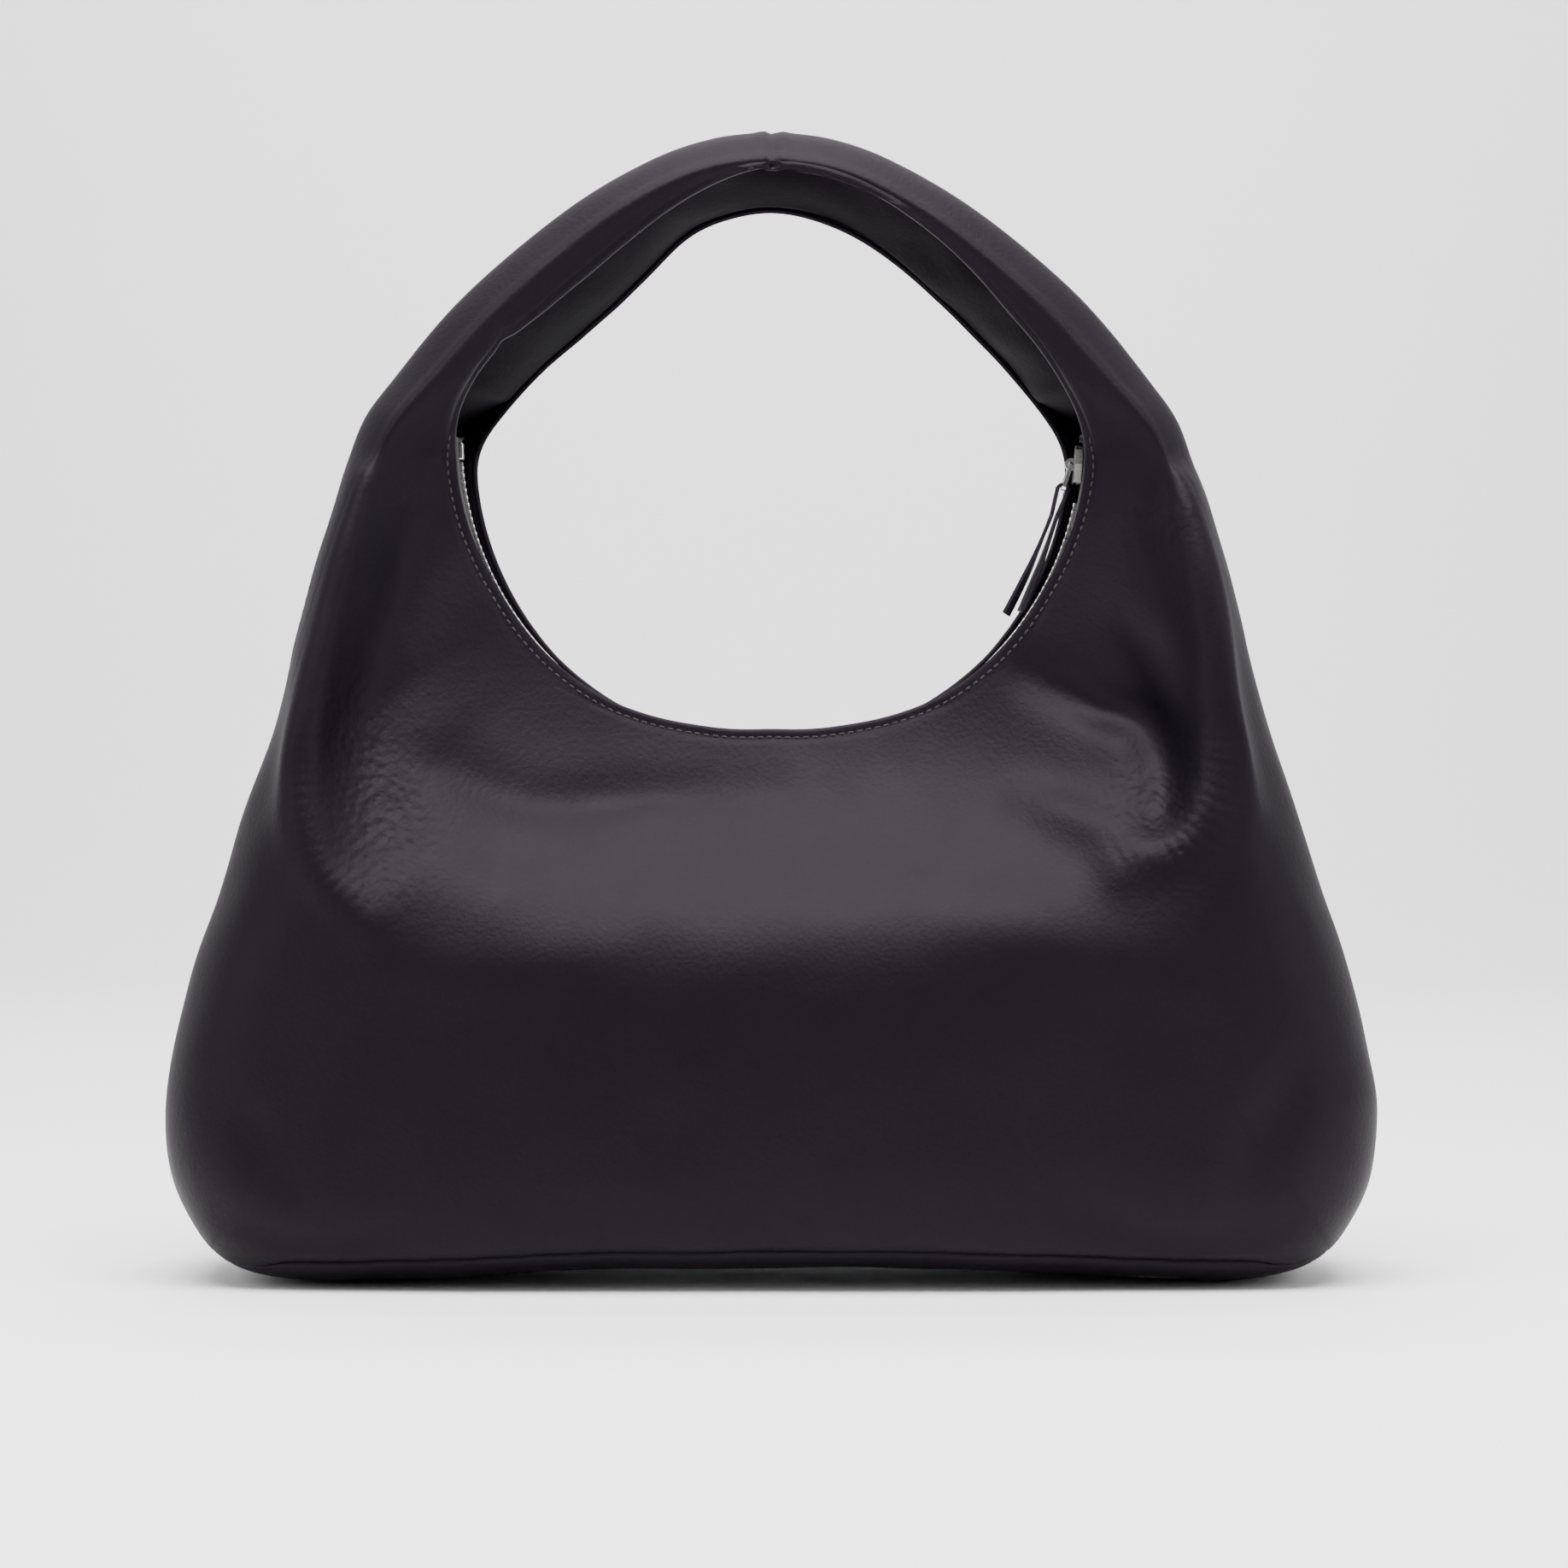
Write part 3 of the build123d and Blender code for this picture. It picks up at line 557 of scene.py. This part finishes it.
seam_front, seam_back = seam_parameters()
BASE_CORNER = (189.5, 17)      # x and z where the base panel runs out at the side
BASE_END = np.degrees(np.arctan2(BASE_CORNER[0], RING_Z - BASE_CORNER[1]))
narrow = np.clip((BASE_END - np.abs(angle)) / 6, 0, 1) ** 0.5
seam_front = 0.5 - (0.5 - seam_front) * narrow
seam_back = 0.5 + (seam_back - 0.5) * narrow


def spread(low, high, count, ease=0.0):
    """count parameters from low to high on each column, closer together near low if ease is over 0."""
    t = np.linspace(0, 1, count) ** (1 + ease)
    return low[:, None] + (high - low)[:, None] * t[None, :]


ROWS = 2 * FRONT_ROWS + BASE_ROWS - 2
parameters = np.concatenate(
    [
        spread(np.zeros(COLUMNS), seam_front, FRONT_ROWS, 0.25),
        spread(seam_front, seam_back, BASE_ROWS)[:, 1:-1],
        1 - spread(np.zeros(COLUMNS), 1 - seam_back, FRONT_ROWS, 0.25)[:, ::-1],
    ],
    axis=1,
)
base_rows = (np.arange(ROWS) > FRONT_ROWS - 2) & (np.arange(ROWS) < ROWS - FRONT_ROWS + 1)


def normals_of(points):
    """Outward unit normals of the grid, and straight out from the hole where its rows run together."""
    along = np.roll(points, -1, axis=0) - np.roll(points, 1, axis=0)
    across = np.gradient(points, axis=1)
    normal = np.cross(along, across)
    length = np.linalg.norm(normal, axis=-1, keepdims=True)
    normal = normal / np.where(length > 1e-9, length, 1)
    outward = points * [0.45, 1, 1] - [0, 0, 120]
    normal = normal * np.sign(np.median(np.sum(normal * outward, axis=-1)))
    turn = np.radians(angle)
    radial = np.stack([np.sin(turn), 0 * turn, -np.cos(turn)], axis=1)[:, None, :]
    flat = (length < 0.02) | ((narrow < 0.45)[:, None, None] & base_rows[None, :, None])
    return np.where(flat, radial, normal)


def base_arch(x, z):
    """How far the middle of the base hangs above the floor."""
    return 4.6 * np.exp(-((x / 100) ** 4)) * np.clip(1 - z / 60, 0, 1)


SIDE_SEAM_DEPTH, SIDE_SEAM_WIDTH = 0.9, 1.1
BASE_SEAM_DEPTH, BASE_SEAM_WIDTH = 1.0, 1.4
TOP_SEAM_X = 0.6             # the cross seam on top of the handle
STITCH_INSET = 3.1           # the stitches' distance from the rim
FLOOR_GAP = 0.15             # the skin stays this far above the floor


def skin_grid():
    """The finished skin: smooth sections, then folds, creases, seams and a soft unevenness."""
    points = to_space(section_points(parameters))
    x, y, z = points[..., 0], points[..., 1], points[..., 2]
    rows = np.arange(ROWS)[None, :]
    # folds fade out at the rim, round the sides and under the base
    facing = np.clip(np.abs(y) / 22, 0, 1) * np.clip(z / 14, 0, 1)
    height = np.where(y < 0, fold_height(FRONT_FOLDS, x, z), fold_height(BACK_FOLDS, x, z)) * facing
    soft_edge = np.clip(rows / 14, 0, 1) * np.clip((ROWS - 1 - rows) / 14, 0, 1)
    on_body = 1 - 0.75 * is_arm[:, None]
    height += 0.55 * on_body * soft_edge * noise_field(x, y, z, 95, 3)
    height += 0.20 * on_body * soft_edge * noise_field(x, y, z, 38, 4)
    # seams: side and handle seam at the middle, base seams, the cross seam on top of the handle
    height -= SIDE_SEAM_DEPTH * np.exp(-((y / SIDE_SEAM_WIDTH) ** 2)) * (z > 14)
    for seam_row in (FRONT_ROWS - 1, ROWS - FRONT_ROWS):
        seam_point = points[:, seam_row][:, None, :]
        away = np.linalg.norm(points - seam_point, axis=-1)
        height -= BASE_SEAM_DEPTH * np.exp(-((away / BASE_SEAM_WIDTH) ** 2)) * narrow[:, None] ** 0.3
    top = (z > 300) & (np.abs(x) < 30)
    outer = np.clip((np.minimum(rows, ROWS - 1 - rows) - 18) / 16, 0, 1)
    beside = np.abs(x - TOP_SEAM_X)
    height -= np.where(top, 1.1 * np.exp(-((beside / 1.2) ** 2)), 0) * outer
    height += np.where(top, 0.4 * np.exp(-(((beside - 3.6) / 2.2) ** 2)), 0) * outer
    # the turned rim: a slightly raised strip between the edge and its row of stitches
    from_edge = np.minimum(
        np.linalg.norm(points - points[:, :1], axis=-1), np.linalg.norm(points - points[:, -1:], axis=-1)
    )
    height += 0.35 * np.exp(-(((from_edge - 1.3) / 1.1) ** 4))
    height -= 0.45 * np.exp(-(((from_edge - STITCH_INSET) / 0.7) ** 2))
    points = points + normals_of(points) * height[..., None]
    # the base hangs a little between its corners
    arch = base_arch(points[..., 0], points[..., 2])
    points[..., 2] = np.clip(points[..., 2] + arch, FLOOR_GAP, None)
    return points


skin = skin_grid()
skin_normals = normals_of(skin)


def skin_piece(name, first, last, columns=None):
    """A piece of the skin between two rows, over all columns or some of them."""
    picked = skin[:, first : last + 1] if columns is None else skin[columns][:, first : last + 1]
    count, rows = picked.shape[:2]
    piece = new_mesh(name, picked.reshape(-1, 3), grid_faces(count, rows, columns is None))
    grain = piece.data.attributes.new("crease_grain", "FLOAT", "POINT")
    x, _, z = picked.reshape(-1, 3).T
    mask = sum(np.exp(-(((x - px) / wide) ** 2) - ((z - pz) / tall) ** 2) for px, pz, wide, tall in CREASED)
    grain.data.foreach_set("value", np.clip(mask, 0, 1).astype(np.float32))
    thicken(piece, LEATHER, -1.0)
    return piece


base_columns = columns_within(BASE_END - 0.05)
front_leather = skin_piece("front_leather", 0, FRONT_ROWS - 1)
back_leather = skin_piece("back_leather", ROWS - FRONT_ROWS, ROWS - 1)
base_leather = skin_piece("base_leather", FRONT_ROWS - 1, ROWS - FRONT_ROWS, base_columns)
panels = ((front_leather, "front_panel"), (back_leather, "back_panel"), (base_leather, "base_panel"))
for piece, node in panels:
    piece.data.materials.append(leather)
    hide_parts(node)
    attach(piece, "bag")


def fix_outward(piece):
    """Turns a panel's faces away from the bag's middle plane."""
    if sum(polygon.normal.y * polygon.center.y for polygon in piece.data.polygons) < 0:
        piece.data.flip_normals()


for piece in (front_leather, back_leather):
    fix_outward(piece)
if sum(p.normal.z for p in base_leather.data.polygons) > 0:
    base_leather.data.flip_normals()


# ---- Strips that follow the rims: handle underside, facings, tapes, lining ----
def strip_piece(name, points, thickness, material, nodes):
    """A strip given as (columns, rows, 3) points."""
    piece = new_mesh(name, points.reshape(-1, 3), grid_faces(*points.shape[:2], False))
    thicken(piece, thickness, 0.0)
    piece.data.materials.append(material)
    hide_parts(*nodes)
    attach(piece, "bag")
    return piece


HANDLE_START = 92            # angle where the handle's underside begins
upper = np.where(np.abs(angle) > HANDLE_START)[0]
upper = upper[np.argsort(np.where(angle[upper] < 0, angle[upper] + 360, angle[upper]))]


def underside():
    """Leather that closes the handle from below, sunk a little inside the edges of both panels."""
    t = np.linspace(0, 1, 26)[None, :]
    deep = rim_depth[upper][:, None] - 2.0
    start, end = front_rim[upper][:, None] + 4.2, back_rim[upper][:, None] + 2.6
    radius = start + (end - start) * t - 1.32 * np.sin(pi * t)
    depth = -deep + 2 * deep * t
    # both ends turn away from the hole, into the body
    ends = np.clip((np.abs(angle[upper])[:, None] - HANDLE_START) / 8, 0, 1)
    radius += (1 - ends) * 12
    points = round_hole(radius, depth, upper)
    points += 0.25 * noise_field(points[..., 0], points[..., 1], points[..., 2], 26, 9)[..., None]
    return points


strip_piece("handle_underside", underside(), 1.4, edge_leather, ["handle_facing"])


def handle_tube(name, node, material, middle, thick, deep):
    """A closed bar inside the handle: middle radius, half thickness and half depth on each column."""
    columns = upper[(np.abs(angle[upper]) > 101)]
    round_angle = np.linspace(0, 2 * pi, 20, endpoint=False)[None, :]
    radius = middle[columns][:, None] + thick[columns][:, None] * np.cos(round_angle)
    depth = deep[columns][:, None] * np.sin(round_angle)
    points = round_hole(radius, depth, columns)
    piece = new_mesh(name, points.reshape(-1, 3), tube_faces(*points.shape[:2]))
    piece.data.materials.append(material)
    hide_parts(node)
    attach(piece, "bag")


inner = np.maximum(front_rim, back_rim) + RIM_TURN
outer_edge = out_radius - RIM_TURN
handle_tube(
    "foam_core", "handle_core", foam, 0.5 * (inner + outer_edge), 0.5 * (outer_edge - inner),
    rim_depth - 6.5,
)
handle_tube(
    "webbing_strip", "handle_webbing", webbing_cloth, out_radius - 4.4, 0 * out_radius + 0.6,
    0.4 * rim_depth,
)


BOARD_HALF_LENGTH, BOARD_HALF_WIDTH, BOARD_THICKNESS, BOARD_Z = 150, 39, 1.6, 3.5


def board_piece():
    """The stiff board inside the base, bent as the base is."""
    xs = np.linspace(-BOARD_HALF_LENGTH, BOARD_HALF_LENGTH, 41)
    ys = np.linspace(-BOARD_HALF_WIDTH, BOARD_HALF_WIDTH, 5)
    points = np.array([[(x, y, BOARD_Z + base_arch(x, 0.0)) for y in ys] for x in xs])
    piece = new_mesh("stiff_board", points.reshape(-1, 3), grid_faces(len(xs), len(ys), False))
    thicken(piece, BOARD_THICKNESS, 0.0)
    piece.data.materials.append(board)
    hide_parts("base_board")
    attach(piece, "bag")


board_piece()

lower = columns_within(91)
CHAIN_RADIUS = 104.5
# The free part of each zip tape: half depth, and how far outside the chain's radius
TAPE_CROSS = np.array([(1.3, 0.0), (2.6, 0.02), (3.9, 0.08), (4.7, 0.3), (5.3, 0.9)])


LONGEST_FACING = 0.27        # part of a section's length that a facing or tape covers at most


def from_rim(side, columns):
    """The skin's lines and normals on some columns, from the front rim (side -1) or the back rim (1)."""
    order = slice(None) if side < 0 else slice(None, None, -1)
    return skin[columns][:, order], skin_normals[columns][:, order]


def inner_rows(side, low_mm, high_mm, count, inset):
    """Points on the inside of a panel, between two distances from its rim and inset from its outer face."""
    out = []
    for line, normal in zip(*from_rim(side, lower)):
        along = distance_along(line)
        reach = min(high_mm, LONGEST_FACING * along[-1])
        wanted = np.linspace(min(low_mm, reach - 2), reach, count)
        inside = line - normal * inset
        out.append(np.stack([np.interp(wanted, along, inside[:, k]) for k in range(3)], axis=1))
    return np.array(out)


def tape_points(side):
    """Zip tape: from the chain across the gap, then up along the inside of the leather."""
    radius, depth = CHAIN_RADIUS + TAPE_CROSS[:, 1][None, :], side * TAPE_CROSS[:, 0][None, :]
    near = round_hole(radius, np.broadcast_to(depth, (len(lower), len(TAPE_CROSS))), lower)
    far = inner_rows(side, 9, 22, 6, 2.6)
    return np.concatenate([near, far], axis=1)


SIDES = ((-1, "front"), (1, "back"))
for side, word in SIDES:
    strip_piece(
        f"zip_tape_cloth_{word}", tape_points(side), 0.45, tape_cloth, [f"zip_tape_{word}"]
    )
    strip_piece(
        f"rim_facing_leather_{word}", inner_rows(side, 12, 34, 8, 3.9), 0.8, edge_leather,
        [f"rim_facing_{word}"],
    )


LINING_INSET = 4.4           # from the skin's outer face
LINING_FIRST_ROW = 24        # the skin's row where the lining begins, under the facing
LINING_FLOOR = 5.6           # lowest point of the lining, above the board


def lining_piece(side, word):
    """Lining cloth, the skin's own shape drawn in, from the facing down to the middle of the base."""
    lines, normals = from_rim(side, columns_within(80))
    lines = (lines - normals * LINING_INSET)[:, LINING_FIRST_ROW : ROWS // 2 + 1 : 2]
    lines[..., 2] = np.maximum(lines[..., 2], LINING_FLOOR + base_arch(lines[..., 0], 0.0))
    strip_piece(f"lining_cloth_{word}", lines, 0.5, lining_cloth, [f"lining_{word}"])


for side, word in SIDES:
    lining_piece(side, word)


# ---- Stitches ----
def stitch_row(name, path, normals, pitch, length, radius):
    """One mesh of small thread stitches along a path, half sunk in the leather."""
    along = distance_along(path)
    count = int(along[-1] / pitch)
    verts, faces = [], []
    ring = 6
    stations = np.array([-1.0, -0.72, 0.0, 0.72, 1.0])
    girth = np.array([0.35, 0.9, 1.0, 0.9, 0.35])
    sink = np.array([-0.9, -0.15, 0.25, -0.15, -0.9])
    for number in range(count):
        here = (number + 0.5) * pitch
        centre = np.array([np.interp(here, along, path[:, k]) for k in range(3)])
        ahead = np.array([np.interp(here + 0.6, along, path[:, k]) for k in range(3)])
        up = np.array([np.interp(here, along, normals[:, k]) for k in range(3)])
        tangent = (ahead - centre) / np.linalg.norm(ahead - centre)
        up = up - tangent * np.dot(up, tangent)
        up /= np.linalg.norm(up)
        across = np.cross(tangent, up)
        first = len(verts)
        for station, girth_here, sunk in zip(stations, girth, sink):
            middle = centre + tangent * station * length / 2 + up * radius * sunk
            for k in range(ring):
                turn = 2 * pi * k / ring
                verts.append(middle + radius * girth_here * (across * cos(turn) + up * sin(turn)))
        faces += tube_faces(len(stations), ring, first)
    piece = new_mesh(name, verts, faces)
    piece.data.materials.append(thread_material)
    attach(piece, "bag")
    return piece


def rim_line(side, from_edge, columns):
    """A line on the skin at one distance from a rim, and the skin's normals along it."""
    path, ups = [], []
    for line, normal in zip(*from_rim(side, columns)):
        along = distance_along(line)
        path.append([np.interp(from_edge, along, line[:, k]) for k in range(3)])
        ups.append([np.interp(from_edge, along, normal[:, k]) for k in range(3)])
    return np.array(path), np.array(ups)


for side, word in SIDES:
    path, ups = rim_line(side, STITCH_INSET, lower)
    stitch_row(f"rim_stitches_{word}", path, ups, 3.0, 2.1, 0.32)


# ---- Zip hardware: the CAD shapes, with their real finish ----
finishes = {
    "zip_teeth_front": nickel, "zip_teeth_back": nickel, "zip_bottom_stop": nickel, "zip_top_stops": nickel,
    "slider_body": nickel, "slider_bail": nickel, "pocket_panel": lining_cloth, "pocket_zip_tape": tape_cloth,
    "pocket_teeth": pocket_steel, "pocket_stops": pocket_steel, "pocket_slider": pocket_steel,
    "pocket_puller": pocket_steel,
}
for node, material in finishes.items():
    mesh = frame["nodes"][node].data
    mesh.materials.clear()
    mesh.materials.append(material)


# ---- Leather pull: a folded strip with two free tails ----
STRAP_WIDTH = 5.0 * MM
STRAP_THICKNESS = 1.3 * MM
bar = Vector(joints["pull_swing"]["pos_m"])
pivot = Vector(joints["pull_bail"]["pos_m"])
hang = (bar - pivot).normalized()
across = Vector((-hang.z, 0, hang.x))
fold_left = bar - across * 0.9 * MM + hang * 9 * MM
fold_right = bar + across * 0.9 * MM + hang * 9 * MM
ROUTES = {
    "pull_tail_long": [fold_left, (0.0899, 0, 0.2434), (0.0846, 0, 0.2313), (0.0784, 0, 0.2196)],
    "pull_tail_short": [fold_right, (0.0924, 0, 0.2434), (0.0882, 0, 0.2316), (0.0834, 0, 0.2204)],
}


def spline_points(name, route):
    """Points along the NURBS spline whose control points are the route's."""
    curve = bpy.data.curves.new(name + "_route", "CURVE")
    curve.dimensions = "3D"
    curve.resolution_u = 10
    spline = curve.splines.new("NURBS")
    spline.points.add(len(route) - 1)
    for point, place in zip(spline.points, route):
        point.co = (*place, 1)
    spline.order_u = 3
    spline.use_endpoint_u = True
    holder = bpy.data.objects.new(name + "_route", curve)
    mesh = bpy.data.meshes.new_from_object(holder)
    points = [vertex.co.copy() for vertex in mesh.vertices]
    bpy.data.objects.remove(holder)
    bpy.data.meshes.remove(mesh)
    return points


def strap_mesh(name, points, width, thickness, twist=0.0):
    """A flat strap with rounded edges along points in the middle plane, its width along Y at the start."""
    corner = 0.35 * thickness
    flat_x, flat_y = width / 2 - corner, thickness / 2 - corner
    profile = []
    for quarter, (sx, sy) in enumerate(((1, 1), (-1, 1), (-1, -1), (1, -1))):
        for step in range(4):
            turn = radians(90 * quarter + 30 * step)
            profile.append((sx * flat_x + corner * cos(turn), sy * flat_y + corner * sin(turn)))
    verts = []
    for number, point in enumerate(points):
        before, after = points[max(number - 1, 0)], points[min(number + 1, len(points) - 1)]
        along = (after - before).normalized()
        turned = radians(twist) * sin(0.5 * pi * number / (len(points) - 1)) ** 2
        flat = Vector((0, 1, 0)) * cos(turned) + along.cross(Vector((0, 1, 0))) * sin(turned)
        normal = along.cross(flat).normalized()
        for wide, thick in profile:
            verts.append(tuple((point + flat * wide + normal * thick) / MM))
    piece = new_mesh(name, verts, tube_faces(len(points), len(profile)))
    piece.data.materials.append(pull_leather)
    return piece


TWISTS = {"pull_tail_long": 26, "pull_tail_short": -22}
for node, route in ROUTES.items():
    points = spline_points(node, [Vector(p) for p in route])
    tail = strap_mesh(node.replace("tail", "strap"), points, STRAP_WIDTH, STRAP_THICKNESS, TWISTS[node])
    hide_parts(node)
    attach(tail, "pull")

FOLD_RADIUS = 1.75 * MM
fold = [fold_left, bar - across * FOLD_RADIUS]
for step in range(1, 12):
    turn = pi * step / 12
    fold.append(bar - across * FOLD_RADIUS * cos(turn) - hang * FOLD_RADIUS * sin(turn))
fold += [bar + across * FOLD_RADIUS, fold_right]
loop = strap_mesh("pull_fold", fold, STRAP_WIDTH, STRAP_THICKNESS)
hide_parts("pull_loop")
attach(loop, "pull")


# ---- Floor and light ----
def stage():
    """A pale floor that bends up into a backdrop behind the bag."""
    material, tree, shader, place = node_material("studio_floor")
    tone = ramp(tree, noise(tree, place, 2), [(0.0, (0.93, 0.93, 0.93)), (1.0, (0.96, 0.96, 0.96))])
    tree.links.new(tone, shader.inputs["Base Color"])
    shader.inputs["Roughness"].default_value = 0.7
    shader.inputs["Specular IOR Level"].default_value = 0.2
    width, front, back, top, bend = 6000, -1600, 2900, 2600, 900
    profile = [(front, 0), (back - bend, 0)]
    profile += [(back - bend + bend * sin(a), bend - bend * cos(a)) for a in np.linspace(0.1, pi / 2, 12)]
    profile.append((back, top))
    verts = [(x, y, z) for x in (-width / 2, width / 2) for y, z in profile]
    count = len(profile)
    faces = [(k, k + 1, count + k + 1, count + k) for k in range(count - 1)]
    floor = new_mesh("floor", verts, faces)
    floor.data.materials.append(material)


def area_light(name, place, target, size, power):
    """A white rectangular lamp at place, in metres, aimed at target."""
    light = bpy.data.lights.new(name, "AREA")
    light.shape = "RECTANGLE"
    light.size, light.size_y = size
    light.energy = power
    lamp = bpy.data.objects.new(name, light)
    lamp.location = place
    lamp.rotation_euler = (Vector(target) - Vector(place)).to_track_quat("-Z", "Y").to_euler()
    bpy.context.scene.collection.objects.link(lamp)


stage()
area_light("top_softbox", (0.0, -0.5, 1.35), (0, 0, 0.15), (1.3, 0.8), 60)
area_light("wall_light", (0.0, 0.9, 2.2), (0, 2.6, 0.6), (2.4, 0.6), 110)
area_light("left_softbox", (-1.3, -0.8, 0.8), (0, 0, 0.2), (0.7, 1.2), 12)
area_light("right_softbox", (1.35, -0.6, 0.7), (0, 0, 0.2), (0.7, 1.2), 12)


def studio_world():
    """White behind the bag and dimmer on the other side, as where a photographer stands."""
    world = bpy.data.worlds.new("studio")
    world.use_nodes = True
    tree = world.node_tree
    place = tree.nodes.new("ShaderNodeTexCoord")
    split = tree.nodes.new("ShaderNodeSeparateXYZ")
    fade = tree.nodes.new("ShaderNodeMapRange")
    fade.inputs["From Min"].default_value = -0.15
    fade.inputs["From Max"].default_value = 0.45
    fade.inputs["To Min"].default_value = 0.12
    fade.inputs["To Max"].default_value = 1.7
    tree.links.new(place.outputs["Generated"], split.inputs["Vector"])
    tree.links.new(split.outputs["Y"], fade.inputs["Value"])
    background = tree.nodes["Background"]
    background.inputs["Color"].default_value = (1, 1, 1, 1)
    tree.links.new(fade.outputs["Result"], background.inputs["Strength"])
    bpy.context.scene.world = world


studio_world()
